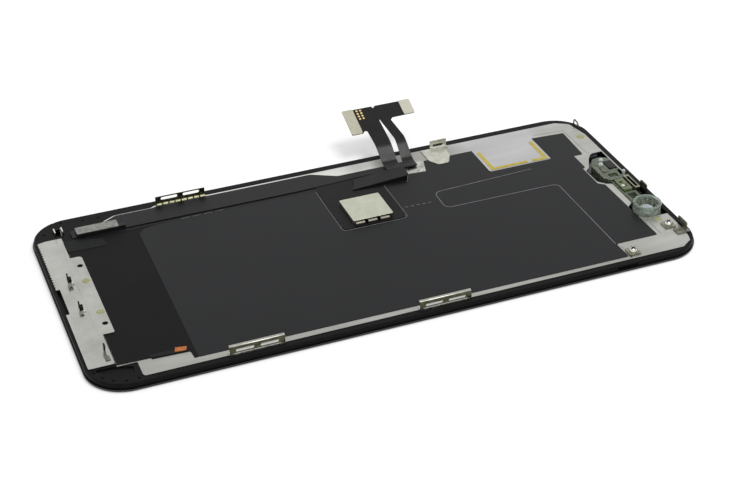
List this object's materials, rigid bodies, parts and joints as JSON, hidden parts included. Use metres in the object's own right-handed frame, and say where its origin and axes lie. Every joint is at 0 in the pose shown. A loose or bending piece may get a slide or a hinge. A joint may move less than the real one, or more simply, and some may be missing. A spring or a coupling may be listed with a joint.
{
  "type": "phone display assembly",
  "caption": "Phone LCD screen assembly lying face down: cover glass in a black frame, steel back plate, graphite film, side clips, sensor holder and a raised flex tail with connectors.",
  "frame": {"origin": "middle of the front face of the cover glass", "axes": "+X along the phone towards the earpiece end, +Y across it, +Z out of the back, away from the screen"},
  "size_m": [0.1548, 0.0847, 0.0117],
  "materials": {
    "cover_glass": "gloss",
    "clear_adhesive": "gloss",
    "polariser": "gloss",
    "panel_glass": "gloss",
    "diffuser": "matte",
    "light_guide": "gloss",
    "diode_strip": "satin",
    "frame_plastic": "satin",
    "plate_steel": "satin",
    "clip_steel": "satin",
    "bright_steel": "gloss",
    "hook_steel": "satin",
    "graphite_film": "satin",
    "black_film": "satin",
    "amber_film": "gloss",
    "gold_foil": "satin",
    "silver_foil": "satin",
    "glue": "gloss",
    "flex_black": "satin",
    "stiffener_grey": "matte",
    "stiffener_cream": "satin",
    "chip_black": "matte",
    "capacitor": "matte",
    "plug_plastic": "matte",
    "holder_plastic": "gloss",
    "clear_plastic": "gloss",
    "gasket_grey": "matte",
    "mesh_black": "matte"
  },
  "bodies": {
    "root": {"cover_glass": "cover_glass", "optical_adhesive": "clear_adhesive", "front_polariser": "polariser", "lcd_cell": "panel_glass", "rear_polariser": "polariser", "backlight_films": "diffuser", "light_guide": "light_guide", "led_strip": "diode_strip", "bezel_frame": "frame_plastic", "backplate": "plate_steel", "lower_bracket": "plate_steel", "screw_lug_1": "hook_steel", "screw_lug_2": "hook_steel", "lower_hook": "hook_steel", "corner_spring": "bright_steel", "graphite_film": "graphite_film", "lower_film": "black_film", "black_tape": "black_film", "edge_tape": "black_film", "kapton_tab": "amber_film", "gold_strip": "gold_foil", "silver_foil": "silver_foil", "glue_spots": "glue", "main_flex": "flex_black", "stiffener_block": "stiffener_grey", "flex_component": "chip_black", "folded_flex": "flex_black", "driver_board": "flex_black", "driver_chip": "chip_black", "shield_can": "bright_steel", "shield_capacitors": "capacitor", "tail_stiffener": "flex_black", "flex_tail": "flex_black", "test_pads": "gold_foil", "connector_back_a": "stiffener_cream", "connector_back_b": "stiffener_cream", "connector_plug_a": "plug_plastic", "connector_plug_b": "plug_plastic", "far_clip_1": "clip_steel", "contact_bumps": "gold_foil", "far_clip_2": "clip_steel", "near_clip_1": "clip_steel", "near_clip_2": "clip_steel", "end_hook_a": "hook_steel", "end_hook_b": "hook_steel", "end_hook_c": "hook_steel", "sensor_holder": "holder_plastic", "proximity_sensor": "chip_black", "light_pipe": "clear_plastic", "microphone": "holder_plastic", "sensor_gasket": "gasket_grey", "earpiece_frame": "hook_steel", "earpiece_mesh": "mesh_black", "nut_plates": "hook_steel", "corner_screws": "bright_steel"}
  },
  "joints": []
}
